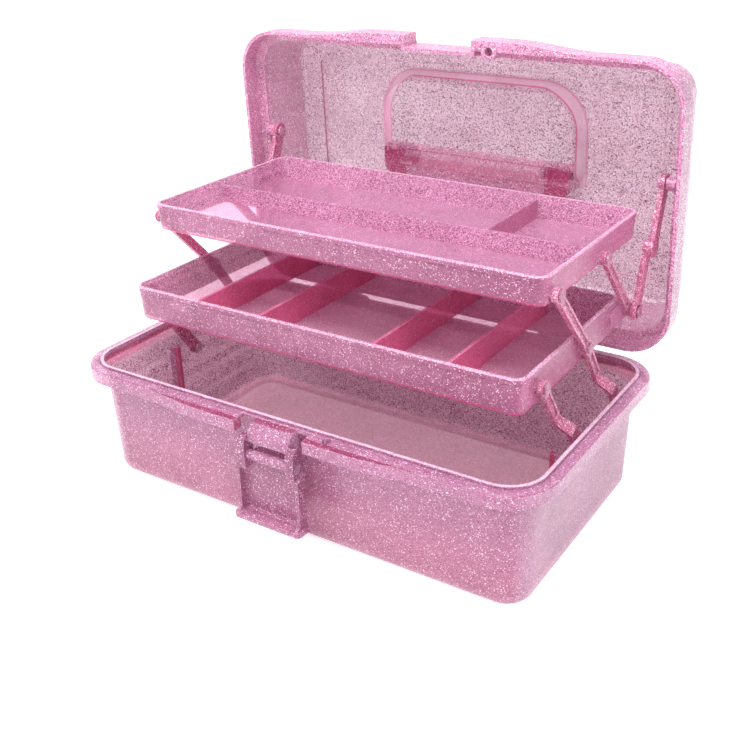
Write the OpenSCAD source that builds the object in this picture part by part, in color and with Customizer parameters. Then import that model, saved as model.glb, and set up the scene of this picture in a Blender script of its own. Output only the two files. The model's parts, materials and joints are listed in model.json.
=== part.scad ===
// Three tier storage box with a hinged lid, two cantilever trays and a front latch.
// Drawn as it stands open: lid up, trays lifted, latch hanging down.
// X runs to the right, Y to the back, Z up. The origin is the centre of the underside.

/* [Overall] */

// Length over the rim flange
rim_len = 320; // [260:1:400]
// Width over the rim flange
rim_wid = 181.5; // [150:0.5:230]
// Corner radius of the rim flange
rim_r = 28.6; // [20:0.2:40]
// Height of the base to the top of its lip
base_h = 79; // [75:0.5:110]
// Height of the closed lid above the base lip, without the raised panel
lid_h = 55.6; // [50:0.2:80]
// Wall thickness of the base and the lid
wall = 2.4; // [1.8:0.1:3.2]

/* [Rim] */

// Height of the flange skirt of the base
flange_h = 8.2; // [6:0.1:10]
// Height of the lid skirt
skirt_h = 15.1; // [12:0.1:20]
// Amount by which the front flange bulges in the middle
bulge = 4; // [1:0.1:6]
// Length of the full bulge
bulge_len = 100; // [90:1:120]
// Radius of the padlock hole
padlock_r = 2.7; // [2:0.1:3]
// Distance of the padlock hole from the middle
padlock_x = 36; // [30:0.5:50]

/* [Trays] */

// Room between each end of the trays and the edge of the rim
tray_side = 25; // [24:0.5:55]
// Width of both trays, front to back
tray_wid = 133; // [110:0.5:133]
// Height of the lower tray
lower_h = 22.2; // [18:0.1:22.4]
// Height of the upper tray
upper_h = 17.5; // [14:0.1:18]
// Wall thickness of the trays
tray_wall = 2; // [1.5:0.1:2.6]
// Thickness of the loose dividers
divider_t = 1.8; // [1.2:0.1:2.4]
// Height of the loose dividers
divider_h = 17; // [8:0.1:19]

/* [Linkage] */

// Angle between the open and the closed lid
open_deg = 88.5; // [80:0.5:95]
// Width of an arm
arm_w = 6; // [5.4:0.1:8]
// Thickness of an arm
arm_t = 3.2; // [2.6:0.1:4]
// Radius of the pegs that the arms turn on
peg_r = 2.2; // [1.6:0.1:2.6]
// Radius of the two hinge pins
pin_r = 1.6; // [1.2:0.05:1.9]

/* [Latch] */

// Width of the latch at its hook end
latch_w = 43.6; // [36:0.2:48]
// Distance from the latch pivot to the underside of the hook
hook_reach = 36.9; // [36.9:0.1:39]
// Radius of the latch pivot bar
bar_r = 2.9; // [2:0.1:3]

/* [Handle] */

// Width of the handle over its legs
handle_w = 132; // [100:1:136]
// Height of the handle above its pivot
handle_h = 51; // [40:0.5:52]
// Width of the handle grip
grip_w = 10; // [8:0.2:12]
// Thickness of the handle grip
grip_t = 11; // [9:0.2:12]
// Radius of the handle pins
handle_pin_r = 2.4; // [1.8:0.1:3]

/* [Hidden] */

$fn = 64;
// Overrun of every cut
cut = 1;
// Radial play of every pin in its bore
play = 0.08;
// Gap between faces that pass each other
gap = 0.3;
// Points on a moulded corner
arc_n = 8;

// Colours of the moulded glitter plastic
c_shell = [0.86, 0.55, 0.70];
c_lid = [0.90, 0.68, 0.78];
c_tray = [0.84, 0.45, 0.65];
c_divider = [0.78, 0.32, 0.52];
c_arm = [0.70, 0.27, 0.42];
c_latch = [0.76, 0.42, 0.56];
c_pin = [0.62, 0.22, 0.36];

tray_len = rim_len - 2 * tray_side;

// Base section, as distance out from the flange edge and height
lip_rise = 1.3;
flange_top = base_h - lip_rise;
flange_edge_r = 1.6;
flange_in = 6.3;
lip_out = 6.5;
lip_in = 8.5;
groove_w = 0.7;
groove_d = 0.6;
groove_z = flange_top - groove_d;
shoulder_drop = 8;
shoulder_z = base_h - shoulder_drop;
shoulder_d = 9.4;
base_draft = 2.5;
foot_r = 8;
floor_t = wall;

// Lid section, in the closed place
seam = 0.4;
skirt_z = flange_top + seam;
ledge_z = skirt_z + skirt_h;
ledge_rise = 1.4;
ledge_w = 5.8;
ledge_r = 1.5;
lid_top = base_h + lid_h;
lid_edge_r = 5;
lid_wall_d = 10.4;
ledge_step = 1;
lid_wall_z = ledge_z + ledge_rise + ledge_step;
panel_in_x = 26;
panel_in_y = 25;
panel_len = rim_len - 2 * panel_in_x;
panel_wid = rim_wid - 2 * panel_in_y;
panel_r = 4;
panel_rise = 2;
lid_face = lid_top + panel_rise;

// Hinge axis of the lid
hinge_out = 2.75;
hinge_drop = 4.6;
hinge_y = rim_wid / 2 + hinge_out;
hinge_z = base_h - hinge_drop;
knuckle_r = 3.2;
knuckle_len = 10;
knuckle_x = 62;
lid_knuckle_len = 17.4;
hinge_arm_h = 13;
hinge_len = 2 * knuckle_len + lid_knuckle_len + 2 * gap;
pin_head_r = 2.5;
pin_head_t = 1;

// Pivots of the cantilever arms, as places in Y and Z with the box open. They keep their distances
// from the hinge, because the lid drives them.
foot_back = 90.3;
front_foot_y = hinge_y - foot_back;
foot_drop = 23.9;
front_foot = [front_foot_y, base_h - foot_drop];
arm_step = 57;
rear_foot = front_foot + [arm_step, 0];
arm_rise = [-38.9, 56.6];
link_rise = [-42.5, 46.5];
front_top = front_foot + arm_rise;
mid_pivot = rear_foot + arm_rise;
long_top = mid_pivot + link_rise;
pivot_step = [62.7, -0.1];
rear_pivot = mid_pivot + pivot_step;
rear_top = rear_pivot + link_rise;
lid_pivot_at = [17.2, 110.4];
lid_pivot = [hinge_y, hinge_z] + lid_pivot_at;
// Lengthwise play of the open pivot between the lid link and the lower tray
free_play = 1.9;

// Trays
tray_r = 8;
tray_draft = 3;
tray_floor = 2;
bead_h = 3;
bead_w = 0.6;
tray_fillet = 2.5;
lower_hang = 11.2;
lower_z = mid_pivot.y - lower_hang;
lower_lead = 19.3;
lower_y = front_top.x - lower_lead + tray_wid / 2;
upper_hang = 5.9;
upper_z = long_top.y - upper_hang;
upper_lead = 10.3;
upper_y = long_top.x - upper_lead + tray_wid / 2;
lengthwise_in = 3;
lengthwise_y = upper_y - lengthwise_in;
fixed_wall = 1.6;
fixed_wall_low = 3;
fixed_wall_h = upper_h - fixed_wall_low;
cross_x = 68;
divider_near = 40;
divider_far = 88;
guide_w = 1.4;
guide_d = 1.6;
ear_t = 4;
ear_h = 12;

// Arms, across the box
arm_x = tray_len / 2 + 2 * gap;
boss_r = 4.2;
boss_x = arm_x - gap;
head_r = 3.3;
head_t = 1.2;
head_x = arm_x + arm_t + gap;
head_over = 1.4;
rim_w = 1.4;
channel_d = 1.2;
foot_w = 7.4;
foot_len = 35;
jog_run = 8;
lid_link_x = head_x + head_t + gap;
lid_link_w = 7.4;
link_w = 5.6;
kink = 3;
foot_side = 1.5;
foot_x = rim_len / 2 + base_out(front_foot.y) - wall - foot_side - arm_t;
jog = foot_x - arm_x;

// Rests for the folded front arms
rest_ahead = 23.8;
rest_y = front_foot_y - rest_ahead;
rest_t = 3;
rest_drop = 13;
rest_top = base_h - rest_drop;
rest_w = 12.4;
rest_seat = 4.8;

// Latch, with its pivot on the base
latch_out = 3.75;
latch_drop = 21;
latch_y = -rim_wid / 2 - latch_out;
latch_z = base_h - latch_drop;
lug_w = 28.5;
lug_drop = 13;
lug_over = 0.5;
lug_low = base_h - lug_drop;
lug_y = latch_y - lug_over;
lug_r = 9;
leg_w = 5.2;
leg_over = 12;
leg_r = 3.9;
web_t = 2;
web_out = 3;
web_gap = 3;
rail_t = 2;
rail_in = 3.5;
hook_w = 47;
hook_d = 10.5;
hook_t = 3;
hook_r = 3;
hook_fillet = 1.2;
notch_w = 48;
notch_in = 4.6;
notch_y = -rim_wid / 2 + notch_in;
bar_web_t = 2.4;
recess_in = 3.3;
recess_y = -rim_wid / 2 + recess_in;

// Handle, its pocket and its pins, in the closed place
pocket_side = 12.5;
pocket_len = handle_w + 2 * pocket_side;
pocket_back = 6;
pocket_front = -61;
pocket_depth = 9;
pocket_slope = 7;
pocket_r = 30;
pocket_back_r = 12;
trough_side = 3.5;
trough_len = handle_w + 2 * trough_side;
trough_front = -8;
trough_back = 9.5;
trough_drop = 3;
trough_r = 3;
pocket_z = lid_face - pocket_depth;
trough_z = pocket_z - trough_drop;
grip_z = pocket_z + gap;
handle_lift = 3.9;
handle_pivot_z = pocket_z + handle_lift;
handle_foot_r = 5.6;
handle_foot_w = 10;
handle_bend_r = 12;
ridge_n = 3;
ridge_h = 0.9;
lug_in_w = 5;
handle_head_r = 4;
handle_head_t = 1.6;
grip_fine = 8;
thin_arc = 0.4;

// Points of an arc from one angle to another
function arc(c, r, a0, a1) =
    [for (i = [0 : arc_n]) c + r * [cos(a0 + (a1 - a0) * i / arc_n), sin(a0 + (a1 - a0) * i / arc_n)]];

// Outer face of the base wall at a height, as distance out from the flange edge
function base_out(z) = -shoulder_d - (shoulder_z - z) * tan(base_draft);

// How far the front bulges at a place along the front
function bulge_at(x) =
    let (s = max(0, min(1, (abs(x) - bulge_len / 2) / (bulge_len / 2))))
    bulge * (1 + cos(180 * s)) / 2;

// Sweep a section round a rounded rectangle; it is filled to the corner centres
module swept(len, wid, r, sect) {
    cx = len / 2 - r;
    cy = wid / 2 - r;
    pts = [for (p = sect) [r + p.x, p.y]];
    low = min([for (p = sect) if (p.x == -r) p.y]);
    high = max([for (p = sect) if (p.x == -r) p.y]);
    for (q = [0 : 3])
        rotate([0, 0, 90 * q])
            translate([q % 2 == 0 ? cx : cy, q % 2 == 0 ? cy : cx, 0])
                rotate_extrude(angle = 90)
                    polygon(pts);
    for (a = [0, 180]) rotate([0, 0, a]) {
        translate([-cx, cy, 0])
            rotate([90, 0, 90])
                linear_extrude(2 * cx)
                    polygon(pts);
        translate([cx, cy, 0])
            rotate([90, 0, 0])
                linear_extrude(2 * cy)
                    polygon(pts);
    }
    translate([-cx, -cy, low])
        cube([2 * cx, 2 * cy, high - low]);
}

// Cylinder along X from one place to another
module rod(x0, x1, r, at) {
    translate([x0, at.x, at.y])
        rotate([0, 90, 0])
            cylinder(r = r, h = x1 - x0);
}

// Plate of even thickness from a flat outline in Y and Z
module side_plate(x0, t) {
    translate([x0, 0, 0])
        rotate([90, 0, 90])
            linear_extrude(t)
                children();
}

// Flat bar between two places
module flat_bar(a, b, w) {
    d = b - a;
    translate(a)
        rotate(atan2(d.y, d.x))
            translate([0, -w / 2])
                square([norm(d), w]);
}

// Both sides of the box
module mirrored() {
    children();
    mirror([1, 0, 0])
        children();
}

// Put what is drawn in the closed place where the open lid stands
module lid_open() {
    translate([0, hinge_y, hinge_z])
        rotate([-open_deg, 0, 0])
            translate([0, -hinge_y, -hinge_z])
                children();
}

// The middle of the front rim stands forward
module front_bulge(z0, z1) {
    steps = 10;
    xs = [for (i = [0 : steps]) bulge_len / 2 * (1 + i / steps)];
    edge = concat([for (i = [steps : -1 : 0]) -xs[i]], xs);
    translate([0, 0, z0])
        linear_extrude(z1 - z0)
            polygon(concat([for (x = edge) [x, -rim_wid / 2 - bulge_at(x)]],
                [[bulge_len, -rim_wid / 2 + flange_edge_r], [-bulge_len, -rim_wid / 2 + flange_edge_r]]));
}

// Peg that holds an arm, with its boss below and a snap head outside
module peg(at, from_x, boss_end, tip_x) {
    rod(from_x, boss_end, boss_r, at);
    rod(from_x, tip_x + head_t, peg_r, at);
    rod(tip_x, tip_x + head_t, head_r, at);
}

module base_tub() {
    sect = concat([[-rim_r, 0]],
        arc([base_out(foot_r) - foot_r, foot_r], foot_r, -90, 0),
        [[-shoulder_d, shoulder_z], [-flange_in, flange_top - wall], [-wall, flange_top - wall],
            [-wall, flange_top - flange_h], [0, flange_top - flange_h]],
        arc([-flange_edge_r, flange_top - flange_edge_r], flange_edge_r, 0, 90),
        [[-lip_out + groove_w, flange_top], [-lip_out + groove_w, groove_z], [-lip_out, groove_z],
            [-lip_out, base_h], [-lip_in, base_h], [-lip_in, flange_top - wall],
            [-shoulder_d - wall, shoulder_z - wall / 2]],
        arc([base_out(foot_r) - foot_r, foot_r], foot_r - wall, 0, -90),
        [[-rim_r, floor_t]]);
    color(c_shell) difference() {
        union() {
            swept(rim_len, rim_wid, rim_r, sect);
            front_bulge(flange_top - flange_h, flange_top - flange_edge_r / 2);
            mirrored() {
                base_knuckles();
                base_side();
            }
            padlock_boss(flange_top - flange_h, flange_top - flange_edge_r);
        }
        flange_notch();
        padlock_hole(flange_top - flange_h - cut, flange_top + cut);
        mirrored() {
            rod(knuckle_x - cut, knuckle_x + hinge_len + cut, pin_r + play, [hinge_y, hinge_z]);
            rod(knuckle_x + knuckle_len, knuckle_x + hinge_len - knuckle_len, knuckle_r + gap,
                [hinge_y, hinge_z]);
        }
    }
    color(c_shell)
        latch_seat();
}

// Two knuckles of the base at each hinge
module base_knuckles() {
    for (x = [knuckle_x, knuckle_x + knuckle_len + lid_knuckle_len + 2 * gap]) {
        rod(x, x + knuckle_len, knuckle_r, [hinge_y, hinge_z]);
        translate([x, rim_wid / 2 - wall, hinge_z - knuckle_r])
            cube([knuckle_len, hinge_y - rim_wid / 2 + wall, 2 * knuckle_r - gap]);
    }
}

// Pegs for the two arms and the rest for the folded front arm, on one side wall
module base_side() {
    peg_from = rim_len / 2 + base_out(front_foot.y) - wall / 2;
    for (foot = [front_foot, rear_foot]) {
        rod(foot_x - gap, peg_from, peg_r, foot);
        rod(foot_x - gap - head_t, foot_x - gap, head_r, foot);
        rod(peg_from - wall / 2, peg_from, boss_r, foot);
    }
    translate([0, rest_y + rest_t / 2, 0])
        rotate([90, 0, 0])
            linear_extrude(rest_t)
                polygon([[peg_from - rest_w, floor_t - gap],
                    [rim_len / 2 + base_out(foot_r) - foot_r, floor_t - gap],
                    [rim_len / 2 + base_out(foot_r) - wall / 2, foot_r],
                    [rim_len / 2 + base_out(rest_top) - wall / 2, rest_top - rest_seat],
                    [foot_x - gap, rest_top - rest_seat], [foot_x - gap, rest_top],
                    [peg_from - rest_w, rest_top]]);
}

// Break in the front flange where the latch hangs
module flange_notch() {
    translate([-notch_w / 2, -rim_wid / 2 - bulge - cut, shoulder_z - flange_h])
        cube([notch_w, notch_y + rim_wid / 2 + bulge + cut, flange_h + base_h - shoulder_z]);
}

// Lug that fills the latch window, and the bar that the latch turns on
module latch_seat() {
    back = -rim_wid / 2 - base_out(latch_z) + wall / 2;
    lug_top = flange_top - gap;
    side_plate(-lug_w / 2, lug_w)
        polygon(concat([[notch_y + wall / 2, lug_low], [lug_y, lug_low]],
            arc([lug_y + lug_r, lug_top - lug_r], lug_r, 180, 90),
            [[notch_y + wall / 2, lug_top]]));
    translate([-lug_w / 2 + gap, latch_y, latch_z - bar_web_t / 2])
        cube([lug_w - 2 * gap, back - latch_y, bar_web_t]);
    rod(-lug_w / 2 - leg_w, lug_w / 2 + leg_w, bar_r, [latch_y, latch_z]);
}

module padlock_boss(z0, z1) {
    translate([padlock_x, -rim_wid / 2 + wall, z0])
        cylinder(r = padlock_r + wall, h = z1 - z0);
}

module padlock_hole(z0, z1) {
    translate([padlock_x, -rim_wid / 2 + wall, z0])
        cylinder(r = padlock_r, h = z1 - z0);
}

// Plug with sloping sides, wide at the top, and its own corner radius at front and back
module plug(len, y0, y1, r_front, r_back, slope, z0, z1) {
    hull()
        mirrored()
            for (c = [[y0 + r_front, r_front], [y1 - r_back, r_back]])
                translate([len / 2 - c[1], c[0], z0])
                    cylinder(r1 = c[1] - slope, r2 = c[1], h = z1 - z0);
}

// Room for the handle: a wide pocket and a deeper trough at its pivots
module handle_room(grow) {
    top = grow > 0 ? lid_face - wall / 2 : lid_face + cut;
    over = (top - lid_face) * pocket_slope / pocket_depth;
    low = pocket_z - grow;
    out = grow + over;
    plug(pocket_len + 2 * out, pocket_front - out, pocket_back + out, pocket_r + out, pocket_back_r + out,
        (top - low) * pocket_slope / pocket_depth, low, top);
    plug(trough_len + 2 * grow, trough_front - grow, trough_back + grow, trough_r + grow, trough_r + grow,
        0, trough_z - grow, top);
}

module lid_shell() {
    in_z = lid_top - wall;
    sect = concat([[-rim_r, lid_top]],
        arc([-lid_wall_d - lid_edge_r, lid_top - lid_edge_r], lid_edge_r, 90, 0),
        [[-ledge_w, lid_wall_z], [-ledge_w + ledge_rise / 2, ledge_z + ledge_rise]],
        arc([-ledge_r, ledge_z - ledge_r], ledge_r, 90, 0),
        [[0, skirt_z], [-wall, skirt_z], [-wall, ledge_z - wall],
            [-ledge_w - wall, ledge_z + ledge_rise - wall]],
        arc([-lid_wall_d - lid_edge_r, lid_top - lid_edge_r], lid_edge_r - wall, 0, 90),
        [[-rim_r, in_z]]);
    color(c_lid) lid_open() difference() {
        union() {
            difference() {
                union() {
                    swept(rim_len, rim_wid, rim_r, sect);
                    translate([0, 0, lid_top - wall])
                        raised_panel(0, wall + panel_rise);
                }
                translate([0, 0, lid_top - wall - cut])
                    raised_panel(wall, panel_rise + cut);
            }
            front_bulge(skirt_z, ledge_z - ledge_r / 2);
            latch_recess();
            difference() {
                padlock_boss(skirt_z, ledge_z);
                translate([padlock_x - rim_r, -rim_wid / 2 + lip_out - gap, skirt_z - cut])
                    cube([2 * rim_r, rim_r, base_h + gap - skirt_z + cut]);
            }
            handle_room(wall);
            mirrored() {
                lid_knuckle();
                lid_peg();
            }
        }
        difference() {
            handle_room(0);
            mirrored()
                handle_lug();
        }
        latch_gap();
        padlock_hole(skirt_z - cut, lid_top - lid_edge_r);
        mirrored() {
            rod(knuckle_x, knuckle_x + hinge_len, pin_r + play, [hinge_y, hinge_z]);
            rod(lug_x() - cut, trough_len / 2 + wall / 2, handle_pin_r + play, [0, handle_pivot_z]);
        }
    }
}

function lug_x() = handle_w / 2 - handle_foot_w - gap - lug_in_w;

module raised_panel(inset, h) {
    swept(panel_len - 2 * inset, panel_wid - 2 * inset, panel_r,
        [[-panel_r, 0], [0, 0], [0, h], [-panel_r, h]]);
}

// Lug that carries the inner end of a handle pin, kept when the trough is cut
module handle_lug() {
    translate([lug_x(), trough_front, trough_z - cut])
        cube([lug_in_w, trough_back - trough_front, handle_pivot_z - trough_z + cut]);
    rod(lug_x(), lug_x() + lug_in_w, handle_foot_r, [0, handle_pivot_z]);
}

// Knuckle of the lid between the two of the base
module lid_knuckle() {
    x = knuckle_x + knuckle_len + gap;
    rod(x, x + lid_knuckle_len, knuckle_r, [hinge_y, hinge_z]);
    side_plate(x, lid_knuckle_len)
        polygon([[rim_wid / 2 + gap, hinge_z], [rim_wid / 2 + gap, skirt_z],
            [rim_wid / 2 - wall / 2, skirt_z],
            [rim_wid / 2 - wall / 2, hinge_z + hinge_arm_h], [hinge_y + knuckle_r / 2, hinge_z + hinge_arm_h],
            [hinge_y + knuckle_r - gap, hinge_z]]);
}

// Peg on the side wall that carries the lid link
module lid_peg() {
    c = lid_pivot - [hinge_y, hinge_z];
    at = [hinge_y + c.x * cos(open_deg) - c.y * sin(open_deg),
        hinge_z + c.x * sin(open_deg) + c.y * cos(open_deg)];
    wall_x = rim_len / 2 - ledge_w - wall / 2;
    link_x = lid_link_x + kink;
    rod(link_x + arm_t + gap, wall_x, boss_r, at);
    rod(link_x - gap - head_t, wall_x, peg_r, at);
    rod(link_x - gap - head_t, link_x - gap, head_r, at);
}

// Wall behind the gap in the lid skirt
module latch_recess() {
    translate([-notch_w / 2 - wall, recess_y - wall / 2, skirt_z])
        cube([notch_w + 2 * wall, 1.5 * wall, ledge_z - skirt_z]);
}

// Gap in the lid skirt for the latch plate
module latch_gap() {
    translate([-notch_w / 2, -rim_wid / 2 - bulge - cut, skirt_z - cut])
        cube([notch_w, recess_y + rim_wid / 2 + bulge + cut, ledge_z + ledge_rise - skirt_z + 2 * cut]);
}

// Section of the handle grip, with long ridges on its outer side
function grip_sect() =
    let (n = grip_fine * ridge_n)
    concat([[0, 0], [0, grip_t]],
        [for (i = [n : -1 : 0])
            [grip_w - ridge_h * (1 + cos(360 * ridge_n * i / n)) / 2, grip_t * i / n]]);

// Handle folded forward into its pocket
module carry_handle() {
    bend = handle_bend_r;
    half = handle_w / 2;
    leg = handle_h - bend;
    color(c_shell) lid_open() difference() {
        union() {
            mirrored() {
                translate([half - grip_w, 0, grip_z])
                    rotate([90, 0, 0])
                        linear_extrude(leg)
                            polygon(grip_sect());
                translate([half - bend, -leg, grip_z])
                    rotate([0, 0, -90])
                        rotate_extrude(angle = 90)
                            translate([bend - grip_w, 0])
                                polygon(grip_sect());
                rod(half - handle_foot_w, half, handle_foot_r - gap, [0, handle_pivot_z]);
                translate([half - handle_foot_w, -2 * handle_foot_r, grip_z])
                    cube([handle_foot_w - ridge_h, 2 * handle_foot_r, grip_t / 2]);
            }
            translate([-half + bend, -handle_h + grip_w, grip_z])
                mirror([0, 1, 0])
                    rotate([90, 0, 90])
                        linear_extrude(2 * (half - bend))
                            polygon(grip_sect());
        }
        mirrored()
            rod(half - handle_foot_w - cut, half + cut, handle_pin_r + play, [0, handle_pivot_z]);
    }
}

// Pin of one handle foot, with its head inside the trough
module handle_pin() {
    x0 = lug_x() - gap;
    color(c_pin) lid_open() {
        rod(x0, trough_len / 2 + wall / 2 - gap, handle_pin_r, [0, handle_pivot_z]);
        rod(x0 - handle_head_t, x0, handle_head_r, [0, handle_pivot_z]);
    }
}

module handle_pin_left() {
    mirror([1, 0, 0])
        handle_pin();
}

module handle_pin_right() {
    handle_pin();
}

// Latch, drawn in the closed place about its pivot and turned down
module latch() {
    top = hook_reach;
    color(c_latch)
        translate([0, latch_y, latch_z])
            rotate([180, 0, 0])
                difference() {
                    union() {
                        translate([-latch_w / 2 + rail_t / 2, -web_out, web_gap])
                            cube([latch_w - rail_t, web_t, top - web_gap + hook_t]);
                        translate([0, -web_out, top])
                            latch_hook();
                        mirrored()
                            latch_side(top);
                    }
                    rod(-latch_w, latch_w, bar_r + play, [0, 0]);
                }
}

// Hook of the latch: a tab with rounded corners, and a fillet where it leaves the plate
module latch_hook() {
    linear_extrude(hook_t) {
        translate([-hook_w / 2, 0])
            square([hook_w, hook_d - hook_r]);
        translate([-hook_w / 2 + hook_r, hook_d - 2 * hook_r])
            square([hook_w - 2 * hook_r, 2 * hook_r]);
        mirrored()
            translate([hook_w / 2 - hook_r, hook_d - hook_r])
                circle(r = hook_r);
    }
    side_plate(-latch_w / 2 + rail_t / 2, latch_w - rail_t)
        polygon([[web_t / 2, hook_t / 2], [web_t / 2, -hook_fillet], [web_t, -hook_fillet],
            [web_t + hook_fillet, 0], [web_t + hook_fillet, hook_t / 2]]);
}

// Side rail of the latch and the leg that turns on the bar
module latch_side(top) {
    leg_x = lug_w / 2 + gap;
    side_plate(latch_w / 2 - rail_t, rail_t)
        polygon([[-web_out, web_gap], [rail_in, web_gap + leg_r], [rail_in, top - rail_in],
            [rail_in + web_out, top], [-web_out, top]]);
    side_plate(leg_x, leg_w) {
        translate([0, -leg_over + leg_r])
            circle(r = leg_r);
        translate([-leg_r, -leg_over + leg_r])
            square([2 * leg_r, leg_over + leg_r]);
    }
}

// Open tray, drawn with its floor centre at the origin
function tray_sect(h) =
    let (in = (h - tray_fillet) * tan(tray_draft) + bead_w, t = tray_wall)
    concat([[-tray_r, 0]],
        arc([-in - tray_fillet, tray_fillet], tray_fillet, -90, 0),
        [[-bead_w, h - bead_h - bead_w], [0, h - bead_h], [0, h - bead_w], [-bead_w, h],
            [-bead_w - t + bead_w / 2, h], [-bead_w - t, h - bead_h]],
        arc([-in - tray_fillet, tray_fillet], max(thin_arc, tray_fillet - t), 0, -90),
        [[-tray_r, tray_floor]]);

module tray_body(h) {
    swept(tray_len, tray_wid, tray_r, tray_sect(h));
}

// Half of the room between the tray walls, along X and along Y
function tray_in(size, h) = size / 2 - bead_w - tray_wall - h * tan(tray_draft);

module lower_tray() {
    wall_x = tray_len / 2 - tray_wall;
    color(c_tray) {
        translate([0, lower_y, lower_z]) {
            tray_body(lower_h);
            for (x = [-divider_far, -divider_near, divider_near, divider_far])
                divider_guides(x);
        }
        mirrored() {
            for (at = [front_top, mid_pivot])
                peg(at, wall_x, boss_x, head_x);
            peg(rear_pivot, wall_x, boss_x, lid_link_x + arm_t + gap);
            tray_ear(wall_x);
        }
    }
}

// Ear behind the tray corner that carries the rear pivot
module tray_ear(wall_x) {
    back = lower_y + tray_wid / 2;
    side_plate(boss_x - ear_t, ear_t) {
        translate([back - 2 * tray_r, rear_pivot.y - ear_h / 2])
            square([rear_pivot.x - back + 2 * tray_r, ear_h]);
        translate(rear_pivot)
            circle(d = ear_h);
    }
}

// Pairs of ribs on the front and back walls that hold a loose divider
module divider_guides(x) {
    half = tray_in(tray_wid, 0);
    for (s = [-1, 1], e = [-1, 1])
        translate([x + s * (divider_t / 2 + gap + guide_w / 2) - guide_w / 2,
            e * (half - guide_d / 2) - guide_d, tray_floor - gap])
            cube([guide_w, 2 * guide_d, divider_h]);
}

// Loose divider plate
module tray_divider(x) {
    half = tray_in(tray_wid, lower_h) - gap;
    color(c_divider)
        translate([x - divider_t / 2, lower_y - half, lower_z + tray_floor + play])
            cube([divider_t, 2 * half, divider_h]);
}

module tray_divider_1() {
    tray_divider(-divider_far);
}

module tray_divider_2() {
    tray_divider(-divider_near);
}

module tray_divider_3() {
    tray_divider(divider_near);
}

module tray_divider_4() {
    tray_divider(divider_far);
}

module upper_tray() {
    wall_x = tray_len / 2 - tray_wall;
    half_x = tray_len / 2 - tray_wall;
    back = upper_y + tray_wid / 2 - tray_wall;
    color(c_tray) {
        translate([0, upper_y, upper_z])
            tray_body(upper_h);
        translate([-half_x, lengthwise_y - fixed_wall / 2, upper_z + tray_floor - gap])
            cube([2 * half_x, fixed_wall, fixed_wall_h - tray_floor]);
        translate([cross_x - fixed_wall / 2, lengthwise_y, upper_z + tray_floor - gap])
            cube([fixed_wall, back - lengthwise_y, fixed_wall_h - tray_floor + gap]);
        mirrored()
            for (at = [long_top, rear_top])
                peg(at, wall_x, boss_x, head_x);
    }
}

// Channel in the outer face of an arm, from a distance above its lower place to near its upper one
module arm_channel(a, b, from) {
    side_plate(arm_x + arm_t - channel_d, channel_d + cut)
        flat_bar(a + from * unit(b - a), b - arm_w * unit(b - a), arm_w - 2 * rim_w);
}

function unit(v) = v / norm(v);

// Ribbon along a list of places, with a round head at each end
module blade(path, w, x0) {
    n = len(path) - 1;
    side_plate(x0, arm_t)
        polygon(concat([for (i = [0 : n]) path[i] + across(path, i, w)],
            [for (i = [n : -1 : 0]) path[i] - across(path, i, w)]));
    for (i = [0, n])
        rod(x0, x0 + arm_t, w / 2 + head_over, path[i]);
}

// Half the width of a ribbon at one of its places, square to its run
function across(path, i, w) =
    let (n = len(path) - 1, a = unit(path[min(i + 1, n)] - path[min(i, n - 1)]),
        b = unit(path[max(i, 1)] - path[max(i - 1, 0)]), m = unit(a + b))
    w / 2 / (m * a) * [-m.y, m.x];

// Arm along a list of places: its foot stands further out than the rest, and a slanting jog joins the two
module jogged_arm(path) {
    at = path[0];
    run = path[1] - at;
    long = norm(run);
    turn = atan2(run.y, run.x);
    last = len(path) - 1;
    far = norm(path[last] - at) + arm_w;
    foot_r = (foot_w + head_over) / 2;
    intersection() {
        translate([0, at.x, at.y])
            rotate([turn, 0, 0])
                translate([0, 0, -far])
                    linear_extrude(2 * far)
                        polygon([[foot_x, -foot_w], [foot_x, foot_len - jog_run],
                            [arm_x, foot_len], [arm_x, far], [arm_x + arm_t, far], [arm_x + arm_t, foot_len],
                            [foot_x + arm_t, foot_len - jog_run], [foot_x + arm_t, -foot_w]]);
        union() {
            through_arm()
                translate(at)
                    rotate(turn)
                        polygon([[0, -foot_w / 2], [foot_len - jog_run, -foot_w / 2], [foot_len, -arm_w / 2],
                            [long, -arm_w / 2], [long, arm_w / 2], [foot_len, arm_w / 2],
                            [foot_len - jog_run, foot_w / 2], [0, foot_w / 2]]);
            if (last > 1)
                through_arm()
                    flat_bar(path[1], path[last], arm_w);
            for (i = [0 : last])
                rod(arm_x - cut, foot_x + arm_t + cut, i == 0 ? foot_r : arm_w / 2 + head_over, path[i]);
        }
    }
}

// Straight through the room between the inner face of the arms and the outer face of their feet
module through_arm() {
    side_plate(arm_x - cut, jog + arm_t + 2 * cut)
        children();
}

module front_arm() {
    color(c_arm) difference() {
        jogged_arm([front_foot, front_top]);
        arm_channel(front_foot, front_top, foot_len + arm_w);
        rod(foot_x - cut, rim_len / 2, peg_r + play, front_foot);
        rod(arm_x - cut, foot_x, peg_r + play, front_top);
    }
}

module long_arm() {
    color(c_arm) difference() {
        jogged_arm([rear_foot, mid_pivot, long_top]);
        arm_channel(rear_foot, mid_pivot, foot_len + arm_w);
        arm_channel(mid_pivot, long_top, arm_w);
        rod(foot_x - cut, rim_len / 2, peg_r + play, rear_foot);
        for (at = [mid_pivot, long_top])
            rod(arm_x - cut, foot_x, peg_r + play, at);
    }
}

module rear_link() {
    color(c_arm) difference() {
        blade([rear_top, rear_pivot], link_w, arm_x);
        arm_channel(rear_pivot, rear_top, link_w);
        for (at = [rear_pivot, rear_top])
            rod(arm_x - cut, foot_x, peg_r + play, at);
    }
}

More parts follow.
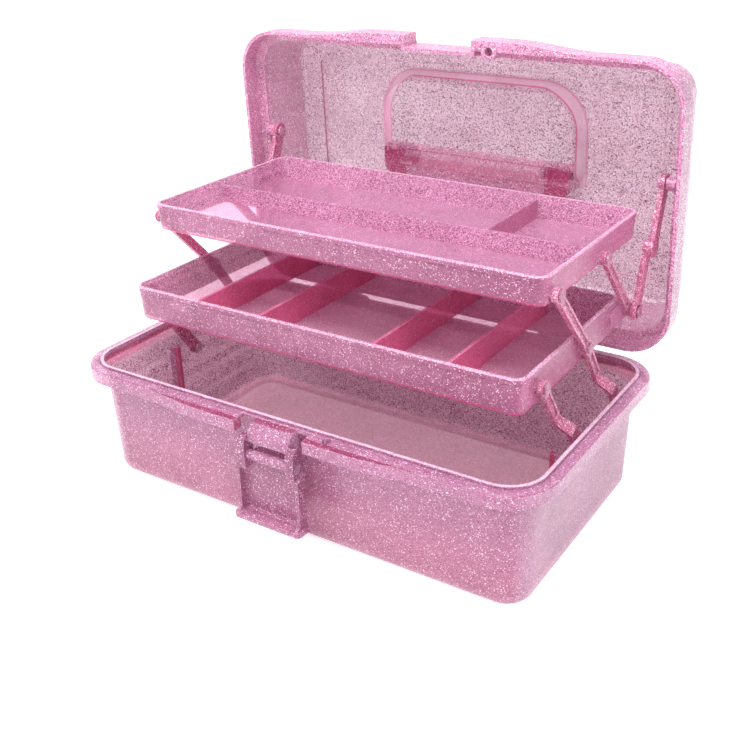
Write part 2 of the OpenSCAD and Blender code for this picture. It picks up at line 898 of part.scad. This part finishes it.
// Link from the lid to the lower tray; its lower eye has the free play
module lid_link() {
    mid = (rear_pivot + lid_pivot) / 2;
    eye_r = peg_r + free_play;
    color(c_arm) difference() {
        union() {
            blade([rear_pivot, mid], lid_link_w, lid_link_x);
            rod(lid_link_x, lid_link_x + arm_t, eye_r + rim_w, rear_pivot);
            blade([mid, lid_pivot], lid_link_w + head_over, lid_link_x + kink);
        }
        rod(lid_link_x - cut, rim_len / 2, eye_r, rear_pivot);
        rod(lid_link_x - cut, rim_len / 2, peg_r + play, lid_pivot);
    }
}

module front_arm_left() {
    mirror([1, 0, 0])
        front_arm();
}

module front_arm_right() {
    front_arm();
}

module long_arm_left() {
    mirror([1, 0, 0])
        long_arm();
}

module long_arm_right() {
    long_arm();
}

module rear_link_left() {
    mirror([1, 0, 0])
        rear_link();
}

module rear_link_right() {
    rear_link();
}

module lid_link_left() {
    mirror([1, 0, 0])
        lid_link();
}

module lid_link_right() {
    lid_link();
}

// Pin of one hinge, with a head at each end
module hinge_pin() {
    x0 = knuckle_x - gap;
    x1 = knuckle_x + hinge_len + gap;
    color(c_pin) {
        rod(x0, x1, pin_r, [hinge_y, hinge_z]);
        rod(x0 - pin_head_t, x0, pin_head_r, [hinge_y, hinge_z]);
        rod(x1, x1 + pin_head_t, pin_head_r, [hinge_y, hinge_z]);
    }
}

module hinge_pin_left() {
    mirror([1, 0, 0])
        hinge_pin();
}

module hinge_pin_right() {
    hinge_pin();
}

base_tub();
lid_shell();
carry_handle();
handle_pin_left();
handle_pin_right();
latch();
lower_tray();
upper_tray();
tray_divider_1();
tray_divider_2();
tray_divider_3();
tray_divider_4();
front_arm_left();
front_arm_right();
long_arm_left();
long_arm_right();
rear_link_left();
rear_link_right();
lid_link_left();
lid_link_right();
hinge_pin_left();
hinge_pin_right();
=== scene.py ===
import json
import math

import bpy
from mathutils import Matrix, Vector

# The looks of the storage box: see-through moulded plastic full of glitter, in a white studio.
# Every shape is the frame's own. Lengths are in metres, and places are those of the object's own frame.

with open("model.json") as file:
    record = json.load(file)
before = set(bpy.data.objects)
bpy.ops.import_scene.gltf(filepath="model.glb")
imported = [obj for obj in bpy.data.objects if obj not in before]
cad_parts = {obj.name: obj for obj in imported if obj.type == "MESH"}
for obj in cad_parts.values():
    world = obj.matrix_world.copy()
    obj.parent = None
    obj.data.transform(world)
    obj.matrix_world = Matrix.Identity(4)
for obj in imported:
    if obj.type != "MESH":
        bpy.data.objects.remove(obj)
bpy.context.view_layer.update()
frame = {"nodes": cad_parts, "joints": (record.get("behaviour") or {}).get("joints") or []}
nodes = frame["nodes"]
MM = 0.001


def srgb(r, g, b):
    """A colour written as it looks on a screen, 0 to 255, as the linear one that Blender takes."""
    def lin(c):
        c = c / 255
        return c / 12.92 if c <= 0.04045 else ((c + 0.055) / 1.055) ** 2.4
    return (lin(r), lin(g), lin(b), 1)


WHITE = (1, 1, 1, 1)


class Graph:
    """The nodes of a material or a world under construction."""

    def __init__(self, owner):
        owner.use_nodes = True
        self.tree = owner.node_tree
        self.tree.nodes.clear()

    def new(self, kind, **props):
        n = self.tree.nodes.new(kind)
        for k, v in props.items():
            setattr(n, k, v)
        return n

    def join(self, a, b):
        self.tree.links.new(a, b)

    def put(self, value, socket):
        """Links an output to the socket, or sets the socket to a plain value."""
        if isinstance(value, bpy.types.NodeSocket):
            self.join(value, socket)
        else:
            socket.default_value = value

    def parts(self, vector):
        n = self.new("ShaderNodeSeparateXYZ")
        self.join(vector, n.inputs[0])
        return n.outputs

    def math(self, op, a, b=0.0):
        n = self.new("ShaderNodeMath", operation=op)
        self.put(a, n.inputs[0])
        self.put(b, n.inputs[1])
        return n.outputs[0]

    def mul(self, a, b):
        return self.math("MULTIPLY", a, b)

    def add(self, a, b):
        return self.math("ADD", a, b)

    def sub(self, a, b):
        return self.math("SUBTRACT", a, b)

    def most(self, a, b):
        return self.math("MAXIMUM", a, b)

    def size(self, a):
        return self.math("ABSOLUTE", a)

    def step(self, value, lo, hi, a=0.0, b=1.0):
        """a at lo and beyond it, b at hi and beyond it, smooth between. lo may be over hi."""
        n = self.new("ShaderNodeMapRange", interpolation_type="SMOOTHSTEP", clamp=True)
        if lo > hi:
            lo, hi, a, b = hi, lo, b, a
        self.put(value, n.inputs["Value"])
        for name, v in (("From Min", lo), ("From Max", hi), ("To Min", a), ("To Max", b)):
            n.inputs[name].default_value = v
        return n.outputs["Result"]

    def band(self, value, lo, hi, soft):
        """1 between lo and hi, with ends soft to each side of them."""
        return self.mul(self.step(value, lo - soft, lo + soft), self.step(value, hi + soft, hi - soft))

    def mix(self, fac, a, b, blend="MIX"):
        n = self.new("ShaderNodeMix", data_type="RGBA", blend_type=blend)
        self.put(fac, n.inputs[0])
        self.put(a, n.inputs[6])
        self.put(b, n.inputs[7])
        return n.outputs[2]

    def blend(self, fac, a, b):
        n = self.new("ShaderNodeMix", data_type="FLOAT")
        self.put(fac, n.inputs[0])
        self.put(a, n.inputs[2])
        self.put(b, n.inputs[3])
        return n.outputs[0]

    def grey(self, value):
        n = self.new("ShaderNodeCombineColor")
        for i in range(3):
            self.put(value, n.inputs[i])
        return n.outputs[0]

    def channels(self, colour):
        n = self.new("ShaderNodeSeparateColor")
        self.join(colour, n.inputs[0])
        return n.outputs[:3]

    def vec(self, op, a, b=None, scale=None):
        n = self.new("ShaderNodeVectorMath", operation=op)
        self.put(a, n.inputs[0])
        if b is not None:
            self.put(b, n.inputs[1])
        if scale is not None:
            self.put(scale, n.inputs["Scale"])
        return n.outputs[0]


class Surface(Graph):
    """A material, with the place and the facing of each point in the object's own frame."""

    def __init__(self, name):
        self.mat = bpy.data.materials.new(name)
        super().__init__(self.mat)
        coord = self.new("ShaderNodeTexCoord")
        self.at = coord.outputs["Object"]
        self.x, self.y, self.z = self.parts(self.at)
        self.nx, self.ny, self.nz = self.parts(coord.outputs["Normal"])

    def noise(self, scale, detail=2.0, rough=0.5):
        n = self.new("ShaderNodeTexNoise")
        self.join(self.at, n.inputs["Vector"])
        n.inputs["Scale"].default_value = scale
        n.inputs["Detail"].default_value = detail
        n.inputs["Roughness"].default_value = rough
        return n.outputs[0]

    def flakes(self, scale, shift=0.0):
        """Distance to the middle of the nearest flake, and that flake's random colour."""
        place = self.new("ShaderNodeMapping")
        self.join(self.at, place.inputs["Vector"])
        place.inputs["Location"].default_value = (shift, shift * 0.7, shift * 1.3)
        n = self.new("ShaderNodeTexVoronoi")
        self.join(place.outputs[0], n.inputs["Vector"])
        n.inputs["Scale"].default_value = scale
        return n.outputs["Distance"], n.outputs["Color"]

    def finish(self, shader):
        out = self.new("ShaderNodeOutputMaterial")
        self.join(shader, out.inputs["Surface"])
        return self.mat


def glitter(name, base, zones=(), solid=0.45, dark=0.36, light=0.06, speckle=0.9, fine=0.8, rough=0.3, edge=0.5,
            dark_colour=srgb(120, 42, 86), light_colour=srgb(252, 222, 240), flake=1750.0, tint=(0.985, 0.80, 0.90)):
    """Moulded see-through plastic filled with glitter.

    solid    share of the light that the resin between the flakes stops
    dark     share of the flakes that are turned away, and light of those that catch the light
    speckle  how much of the flakes shows, and fine how much of the smaller ones among them
    edge     how strong the painted highlight is, in patches along the edges
    flake    flakes to a metre
    tint     colour of the light that comes through
    zones    places with a finish of their own, from zone(); a later one lies over those before it
    """
    g = Surface(name)
    colour, speck, body = base, speckle, solid
    for finish_of in zones:
        mask, tone, amount, stop = finish_of(g)
        colour = g.mix(mask, colour, tone)
        if amount is not None:
            speck = g.blend(mask, speck, amount)
        if stop is not None:
            body = g.blend(mask, body, stop)
    # slow clouding of the resin
    cloud = g.step(g.noise(38.0, 3.0, 0.6), 0.35, 0.68, 0.92, 1.06)
    colour = g.mix(1.0, colour, g.grey(cloud), "MULTIPLY")

    def disc(far, radius):
        soft = 0.05
        return g.step(far, radius + soft, radius - soft)

    def share(flake_disc, draw, part, low):
        """The flakes whose random draw falls in the lowest or the highest part."""
        soft = 0.02
        if low:
            return g.mul(flake_disc, g.step(draw, part + soft, part - soft))
        return g.mul(flake_disc, g.step(draw, 1 - part - soft, 1 - part + soft))

    # two sizes of flake
    far1, random1 = g.flakes(flake)
    far2, random2 = g.flakes(flake * 1.7, 0.013)
    draw1, _, draw_lively = g.channels(random1)
    draw2 = g.channels(random2)[0]
    disc1, disc2 = disc(far1, 0.61), disc(far2, 0.57)
    darks, lights = [
        g.mul(g.most(share(disc1, draw1, part, low), g.mul(share(disc2, draw2, part, low), fine)), speck)
        for part, low in ((dark, True), (light, False))]
    flakes = g.most(darks, lights)
    colour = g.mix(darks, colour, dark_colour)
    colour = g.mix(lights, colour, light_colour)
    # moulded edges: rounded for the light, with a painted highlight in patches along them
    bevel = g.new("ShaderNodeBevel", samples=4)
    bevel.inputs["Radius"].default_value = 0.6 * MM
    turned = g.new("ShaderNodeVectorMath", operation="DOT_PRODUCT")
    g.join(bevel.outputs[0], turned.inputs[0])
    g.join(g.new("ShaderNodeNewGeometry").outputs["Normal"], turned.inputs[1])
    at_edge = g.step(turned.outputs["Value"], 0.985, 0.90)
    # painted highlight: pale patches along the edges
    edge_highlight = g.mul(at_edge, g.step(g.noise(260.0, 3.0), 0.36, 0.60))
    colour = g.mix(g.mul(edge_highlight, edge), colour, light_colour)
    # some flakes lie at a slant of their own, and are smoother than the resin
    lively = g.mul(g.mul(disc1, g.step(draw_lively, 0.35, 0.65)), speck)
    slant = g.vec("SCALE", g.vec("SUBTRACT", random1, (0.5, 0.5, 0.5)), scale=g.mul(lively, 0.25))
    bump = g.new("ShaderNodeBump")
    bump.inputs["Strength"].default_value = 0.12
    bump.inputs["Distance"].default_value = 0.25 * MM
    g.join(g.noise(420.0, 3.0, 0.6), bump.inputs["Height"])
    g.join(g.vec("NORMALIZE", g.vec("ADD", bevel.outputs[0], slant)), bump.inputs["Normal"])
    smudge = g.step(g.noise(24.0, 4.0, 0.65), 0.3, 0.75, rough - 0.07, rough + 0.10)
    shader = g.new("ShaderNodeBsdfPrincipled")
    for socket, value in (
            ("Base Color", colour), ("Normal", bump.outputs[0]), ("Roughness", g.sub(smudge, g.mul(lively, 0.12))),
            ("IOR", 1.47), ("Coat Weight", 0.2), ("Coat Roughness", 0.16),
            ("Subsurface Weight", g.mul(g.sub(1.0, flakes), 0.3)),
            ("Subsurface Radius", (1.0, 0.42, 0.62)), ("Subsurface Scale", 4 * MM)):
        g.put(value, shader.inputs[socket])
    # the resin between the flakes lets what is behind show through
    clear = g.new("ShaderNodeBsdfTransparent")
    clear.inputs["Color"].default_value = (*tint, 1)
    plastic = g.new("ShaderNodeMixShader")
    g.put(g.most(g.most(body, flakes), g.mul(at_edge, 0.8)), plastic.inputs[0])
    g.join(clear.outputs[0], plastic.inputs[1])
    g.join(shader.outputs[0], plastic.inputs[2])
    return g.finish(plastic.outputs[0])


def zone(mask_of, tone, speckle=None, solid=None):
    """A place with its own colour, and where they are given its own speckle and solid share."""
    return lambda g: (mask_of(g), tone, speckle, solid)


def both(a, b):
    """1 where both masks are."""
    return lambda g: g.mul(a(g), b(g))


def either(a, b):
    """1 where one of the masks is."""
    return lambda g: g.most(a(g), b(g))


def along(axis, lo, hi):
    """0 up to lo and 1 from hi on, along x, y, z, nx, ny or nz. With lo over hi, 1 up to hi and 0 from lo on."""
    return lambda g: g.step(getattr(g, axis), lo, hi)


def upright(g):
    """Faces that look to a side."""
    return g.step(g.size(g.nz), 0.6, 0.4)


def level(lo, hi, facing):
    """Faces between two heights that look the way that facing says."""
    return lambda g: g.mul(g.band(g.z, lo, hi, 0.1 * MM), facing(g))


def inward(g):
    """Faces that look towards the box's own middle."""
    return g.step(g.add(g.mul(g.x, g.nx), g.mul(g.y, g.ny)), 0.0, -12 * MM)


# Width of the fade at most borders between finishes
SHARP = 0.5 * MM
up = along("nz", 0.45, 0.8)
rightward = along("nx", 0.5, 0.95)

# The base, from the top of its lip down
LIP = 79 * MM
# Of the faces that look up, those below the first height are the floor and those above the second the flange
FLOOR_END = 20 * MM
FLANGE_START = LIP - 19 * MM
# Painted light: the inward faces below the lip, much paler than the outside, for light that comes through the resin
lit_inner_walls = both(inward, along("z", LIP - 3 * MM, LIP - 5 * MM))
# Painted shade: a dark crimson band on the inner faces just below the lip
base_neck_shade = both(inward, lambda g: g.band(g.z, LIP - 9 * MM, LIP - 2.8 * MM, 1.2 * MM))
base_floor = both(up, along("z", FLOOR_END, FLOOR_END / 2))
flange = both(up, along("z", FLANGE_START, FLANGE_START + 6 * MM))
# Painted shade: the floor of the groove in the lip, dark crimson
groove_shade = level(LIP - 2.6 * MM, LIP - 1.6 * MM, up)
# Painted highlight: a pale line on the top of the lip
lip_highlight = level(LIP - 0.4 * MM, LIP + 1 * MM, up)
REST_FRONT, REST_BACK = -27.5 * MM, -13.7 * MM
REST_IN, REST_OUT = 127 * MM, 139.5 * MM
REST_FOOT, REST_TOP = 4 * MM, 66.5 * MM


def arm_rests(g):
    """The rests for the folded arms, on both ends of the base."""
    out = g.size(g.x)
    length = g.band(g.y, REST_FRONT, REST_BACK, 0.2 * MM)
    height = g.band(g.z, REST_FOOT, REST_TOP, 0.3 * MM)
    return g.mul(g.mul(length, g.step(out, REST_IN, REST_IN + SHARP)),
                 g.mul(height, g.step(out, REST_OUT, REST_OUT - SHARP)))


# The lid, in the places it has when it is shut
LID_JOINT = next(j for j in frame["joints"] if j["name"] == "lid_hinge")
LEDGE = 95.7 * MM
PANEL_FOOT = 131.6 * MM
# The handle pocket in it, from the front backwards: the pocket itself, then the trough for the handle's legs
POCKET_FRONT = -66 * MM
TROUGH_FRONT = -10.5 * MM
TROUGH_BACK = 12.5 * MM
POCKET_HALF = 86 * MM
TROUGH_HALF = 73 * MM
POCKET_TOP = 133 * MM
TROUGH_TOP = 130 * MM
# In the trough: the dark bar, its end blocks and the line in front of it
BAR_FRONT, BAR_BACK = -2 * MM, 5 * MM
BLOCK_FRONT, BLOCK_START = -6.5 * MM, 54 * MM
LINE_FRONT, LINE_BACK = -7.2 * MM, -6.4 * MM
# The smooth band round the pocket
BAND_FRONT = -64 * MM
BAND_BACK = 8 * MM
BAND_FOOT = 124.9 * MM
BAND_WIDTH = 3.6 * MM


def shut(g):
    """Place and facing on the shut lid: y, z, facing y, facing z."""
    if not hasattr(g, "shut"):
        hinge_y, hinge_z = LID_JOINT["pos_m"][1:]
        turn = math.radians(LID_JOINT["range_deg"][1])
        c, s = math.cos(turn), math.sin(turn)
        dy, dz = g.add(g.y, -hinge_y), g.add(g.z, -hinge_z)
        g.shut = (g.add(g.add(g.mul(dy, c), g.mul(dz, -s)), hinge_y),
                  g.add(g.add(g.mul(dy, s), g.mul(dz, c)), hinge_z),
                  g.add(g.mul(g.ny, c), g.mul(g.nz, -s)), g.add(g.mul(g.ny, s), g.mul(g.nz, c)))
    return g.shut


def lid_outside(g):
    """Faces of the lid that look out of the shut box."""
    y, _, ny, nz = shut(g)
    return g.most(g.step(nz, 0.3, 0.6), g.step(g.add(g.mul(g.x, g.nx), g.mul(y, ny)), 0.0, 12 * MM))


def lid_skirt(g):
    """The skirt that goes over the rim of the base."""
    return g.step(shut(g)[1], LEDGE + SHARP, LEDGE - SHARP)


def lid_walls(g):
    """The walls between the skirt and the raised panel."""
    z = shut(g)[1]
    return g.mul(g.step(z, PANEL_FOOT - 0.6 * MM, PANEL_FOOT - 3.6 * MM), g.step(z, LEDGE - SHARP, LEDGE + SHARP))


def panel_step(g):
    """The step round the raised panel, inside and outside."""
    _, z, _, nz = shut(g)
    return g.mul(g.step(g.size(nz), 0.5, 0.35), g.step(z, PANEL_FOOT, PANEL_FOOT + 0.4 * MM))


def pocket_rim(g):
    """How far a place lies inside the rim of the handle pocket, how wide the smooth band along the rim is there, and
    1 where there can be a band."""
    y, z, _, _ = shut(g)
    corner_r, corner_x, corner_y = 31 * MM, 48 * MM, -30.5 * MM
    qx, qy = g.add(g.size(g.x), -corner_x), g.sub(corner_y, y)
    px, py = g.most(qx, 0.0), g.most(qy, 0.0)
    round_corner = g.math("SQRT", g.add(g.mul(px, px), g.mul(py, py)))
    depth = g.sub(corner_r, g.add(round_corner, g.math("MINIMUM", g.most(qx, qy), 0.0)))
    left = g.step(g.x, -50 * MM, -70 * MM, 0.0, 8.5 * MM)
    right = g.step(g.x, 45 * MM, 66 * MM, 0.0, 1.4 * MM)
    width = g.add(g.add(left, right), BAND_WIDTH)
    ends = g.mul(g.step(y, BAND_BACK, BAND_BACK - 1 * MM), g.step(y, BAND_FRONT, BAND_FRONT + SHARP))
    return depth, width, g.mul(g.step(z, BAND_FOOT, BAND_FOOT + 0.3 * MM), ends)


def pocket_band(g):
    """The smooth band along the rim of the pocket."""
    depth, width, here = pocket_rim(g)
    return g.mul(here, g.mul(g.step(depth, -0.4 * MM, 0.0), g.step(g.sub(width, depth), -0.2 * MM, 0.3 * MM)))


def pocket_lines(g):
    """Thin lines where the band begins and ends."""
    depth, width, here = pocket_rim(g)
    outer = g.band(depth, -0.2 * MM, 0.4 * MM, 0.3 * MM)
    inner = g.band(g.sub(width, depth), -0.4 * MM, 0.3 * MM, 0.3 * MM)
    return g.mul(here, g.most(g.mul(outer, 0.6), inner))


def pocket_floor(g):
    """The floor of the pocket, on the side that faces into the box."""
    y, z, _, nz = shut(g)
    inside = g.mul(g.step(g.size(g.x), POCKET_HALF, POCKET_HALF - SHARP), g.band(y, POCKET_FRONT, TROUGH_FRONT, SHARP))
    return g.mul(g.mul(inside, g.step(z, POCKET_TOP + SHARP, POCKET_TOP - SHARP)), g.step(nz, 0.2, -0.2))


def trough(g):
    """The trough behind the floor of the pocket."""
    y, z, _, _ = shut(g)
    inside = g.mul(g.step(g.size(g.x), TROUGH_HALF, TROUGH_HALF - SHARP), g.band(y, TROUGH_FRONT, TROUGH_BACK, SHARP))
    return g.mul(inside, g.step(z, TROUGH_TOP, TROUGH_TOP - 1.5 * MM))


def trough_bar(g):
    """Darker middle of the trough, its two end blocks, and the line along it."""
    y = shut(g)[0]
    bar = g.band(y, BAR_FRONT, BAR_BACK, 1.8 * MM)
    ends = g.mul(g.step(g.size(g.x), BLOCK_START - SHARP, BLOCK_START + SHARP),
                 g.step(y, BLOCK_FRONT, BLOCK_FRONT + 0.7 * MM))
    line = g.band(y, LINE_FRONT, LINE_BACK, 0.3 * MM)
    return g.mul(trough(g), g.most(g.mul(bar, 0.8), g.most(ends, line)))


# The trays, by the height of their rims and feet
UPPER_FOOT, UPPER_RIM = 152.3 * MM, 169.8 * MM
LOWER_FOOT, LOWER_RIM = 100.5 * MM, 122.7 * MM
# Painted highlight: a pale line on the top of each tray's rim
tray_rim_highlights = either(*[level(rim - 0.5 * MM, rim + 0.7 * MM, up) for rim in (UPPER_RIM, LOWER_RIM)])
tray_feet = either(level(UPPER_FOOT - 2.3 * MM, UPPER_FOOT + 2.3 * MM, upright),
                   level(LOWER_FOOT - 1.5 * MM, LOWER_FOOT + 2.3 * MM, upright))
lower_floor = both(up, along("z", LOWER_FOOT + 11.5 * MM, LOWER_FOOT + 9.5 * MM))

# Where the flat of the hanging latch ends and its bar begins
LATCH_BAR = 57 * MM

base = glitter(
    "base_plastic", srgb(208, 152, 186), solid=0.48, edge=0.35,
    zones=[
        zone(along("z", 62 * MM, 8 * MM), srgb(206, 140, 168)),
        # painted sheen: faces turned to the right are paler and less speckled
        zone(rightward, srgb(214, 180, 204), 0.8),
        # painted light on the inner walls
        zone(lit_inner_walls, srgb(255, 226, 238), 1.0, 0.64),
        # painted shade below the lip, inside
        zone(base_neck_shade, srgb(186, 66, 106), 0.6),
        zone(base_floor, srgb(255, 176, 198), 0.7, 0.5),
        zone(flange, srgb(196, 148, 182), 0.9),
        # painted shade in the groove of the lip
        zone(groove_shade, srgb(136, 44, 82), 0.6, 0.8),
        # painted highlight along the top of the lip
        zone(lip_highlight, srgb(240, 200, 224), 0.6, 0.8),
        zone(arm_rests, srgb(192, 70, 112), 0.25, 0.6),
    ])
lid = glitter(
    "lid_plastic", srgb(255, 234, 244), solid=0.6, tint=(0.99, 0.86, 0.93), flake=1500.0, speckle=1.0,
    dark=0.21, light=0.08, fine=0.9, dark_colour=srgb(110, 46, 84), light_colour=srgb(255, 240, 248),
    zones=[
        zone(lid_outside, srgb(226, 142, 184), 0.9, 0.62),
        zone(lid_walls, srgb(216, 140, 182), 0.9),
        zone(lid_skirt, srgb(222, 146, 188), 0.9, 0.85),
        zone(both(rightward, along("x", 120 * MM, 130 * MM)), srgb(192, 140, 172), 0.9, 0.85),
        zone(panel_step, srgb(206, 92, 146), 0.3, 0.7),
        zone(pocket_floor, srgb(255, 232, 243), 1.0, 0.86),
        zone(trough, srgb(232, 158, 194), 0.9, 0.7),
        zone(trough_bar, srgb(200, 76, 130), 0.6, 0.75),
        zone(pocket_band, srgb(255, 228, 241), 0.12, 0.95),
        zone(both(pocket_band, along("x", -62 * MM, -74 * MM)), srgb(250, 176, 212), 0.12, 0.95),
        zone(pocket_lines, srgb(236, 124, 168), 0.1, 0.9),
    ])
tray = glitter(
    "tray_plastic", srgb(196, 130, 166), solid=0.5, edge=0.25,
    zones=[
        zone(along("x", 20 * MM, 130 * MM), srgb(172, 98, 138)),
        # painted sheen: faces turned to the right are paler and less speckled
        zone(rightward, srgb(214, 136, 174), 0.7),
        zone(inward, srgb(230, 168, 204), 0.9, 0.72),
        zone(up, srgb(212, 156, 190), 0.6, 0.32),
        zone(lower_floor, srgb(255, 196, 220), 0.7, 0.34),
        zone(tray_feet, srgb(210, 76, 128), 0.3, 0.7),
        # painted highlight along the tray rims
        zone(tray_rim_highlights, srgb(236, 184, 214), 0.9, 0.85),
    ])
divider = glitter("divider_plastic", srgb(246, 136, 180), solid=0.5, dark=0.3, light=0.04, fine=0.6, speckle=0.7,
                  tint=(0.97, 0.56, 0.74))
arm = glitter("arm_plastic", srgb(214, 118, 160), solid=0.6, dark=0.22, light=0.14, tint=(0.95, 0.46, 0.66), edge=0.7)
latch = glitter("latch_plastic", srgb(170, 108, 140), solid=0.6,
                zones=[zone(along("z", LATCH_BAR - 1 * MM, LATCH_BAR + 1 * MM), srgb(160, 98, 132), 1.0)])
handle = glitter("handle_plastic", srgb(212, 140, 178), solid=0.5, dark=0.24)
pin = glitter("pin_plastic", srgb(110, 24, 50), solid=0.85, dark=0.08, light=0.05, fine=0.1)


def finish_for(name):
    """The material of a CAD node, by the first of these words that is in its name."""
    for word, mat in (("pin", pin), ("divider", divider), ("arm", arm), ("link", arm), ("tray", tray),
                      ("latch", latch), ("handle", handle), ("lid", lid), ("base", base)):
        if word in name:
            return mat


for name, node in nodes.items():
    slots = node.data.materials
    if not slots:
        slots.append(finish_for(name))
    for i in range(len(slots)):
        slots[i] = finish_for(name)


def seen(g):
    """1 for rays straight from the camera, off a shiny face or through a clear one."""
    path = g.new("ShaderNodeLightPath").outputs
    return g.most(path["Is Camera Ray"], g.most(path["Is Glossy Ray"], path["Is Transmission Ray"]))


def floor_paint():
    """White paint that also glows where it is seen, so that it ends without an edge."""
    g = Surface("floor_paint")
    paint = g.new("ShaderNodeBsdfDiffuse")
    g.join(g.grey(g.step(g.noise(900.0), 0.3, 0.7, 0.86, 0.90)), paint.inputs["Color"])
    glow = g.new("ShaderNodeEmission")
    glow.inputs["Color"].default_value = WHITE
    g.join(g.mul(seen(g), 0.62), glow.inputs["Strength"])
    sum_of = g.new("ShaderNodeAddShader")
    g.join(paint.outputs[0], sum_of.inputs[0])
    g.join(glow.outputs[0], sum_of.inputs[1])
    return g.finish(sum_of.outputs[0])


def add(name, data):
    o = bpy.data.objects.new(name, data)
    bpy.context.scene.collection.objects.link(o)
    return o


FLOOR_REACH = 4
floor = add("floor", bpy.data.meshes.new("floor"))
floor.data.from_pydata([(x * FLOOR_REACH, y * FLOOR_REACH, 0) for x, y in ((-1, -1), (1, -1), (1, 1), (-1, 1))],
                       [], [(0, 1, 2, 3)])
floor.data.materials.append(floor_paint())

studio = bpy.data.worlds.new("studio")
bpy.context.scene.world = studio
sky = Graph(studio)
background = sky.new("ShaderNodeBackground")
background.inputs["Color"].default_value = WHITE
sky.join(sky.step(seen(sky), 0, 1, 0.86, 1.0), background.inputs["Strength"])
sky.join(background.outputs[0], sky.new("ShaderNodeOutputWorld").inputs["Surface"])


def lamp(name, at, aim, size, watts):
    """A soft rectangular lamp at a place, turned to another place."""
    data = bpy.data.lights.new(name, "AREA")
    data.shape = "RECTANGLE"
    data.size, data.size_y = size
    data.energy = watts
    o = add(name, data)
    o.location = at
    o.rotation_euler = (Vector(aim) - Vector(at)).to_track_quat("-Z", "Y").to_euler()


lamp("key", at=(-0.55, -1.1, 1.25), aim=(0, 0, 0.08), size=(0.7, 0.7), watts=7.0)
lamp("side", at=(1.3, -0.25, 0.75), aim=(0, 0, 0.06), size=(0.8, 0.8), watts=4.0)
lamp("top", at=(0.05, -0.4, 1.5), aim=(0, 0, 0.1), size=(0.9, 0.7), watts=25.0)

# The photo's camera, fitted to the box: its place, its turns, its focal length and the middle of its view in dots
PICTURE = 729
FOCAL = 1044.14
MIDDLE = (414.14, 307.7)
EYE = Vector((335.85, -476.18, 359.47)) * MM
AZIMUTH, ELEVATION, ROLL = [math.radians(a) for a in (32.06, 22.82, -1.08)]
SENSOR = 36

cam = add("camera", bpy.data.cameras.new("camera"))
backward = Vector((math.sin(AZIMUTH) * math.cos(ELEVATION), -math.cos(AZIMUTH) * math.cos(ELEVATION),
                   math.sin(ELEVATION)))
level_right = Vector((math.cos(AZIMUTH), math.sin(AZIMUTH), 0))
level_up = backward.cross(level_right)
rightwards = level_right * math.cos(ROLL) + level_up * math.sin(ROLL)
upwards = level_up * math.cos(ROLL) - level_right * math.sin(ROLL)
cam.matrix_world = Matrix([[*row, at] for *row, at in zip(rightwards, upwards, backward, EYE)] + [[0, 0, 0, 1]])
cam.data.sensor_width = SENSOR
cam.data.sensor_fit = "HORIZONTAL"
cam.data.lens = FOCAL / PICTURE * SENSOR
cam.data.shift_x = (PICTURE / 2 - MIDDLE[0]) / PICTURE
cam.data.shift_y = (MIDDLE[1] - PICTURE / 2) / PICTURE
cam.data.clip_start = 0.01
cam.data.clip_end = 20
bpy.context.scene.camera = cam
bpy.context.scene.view_settings.view_transform = "Standard"
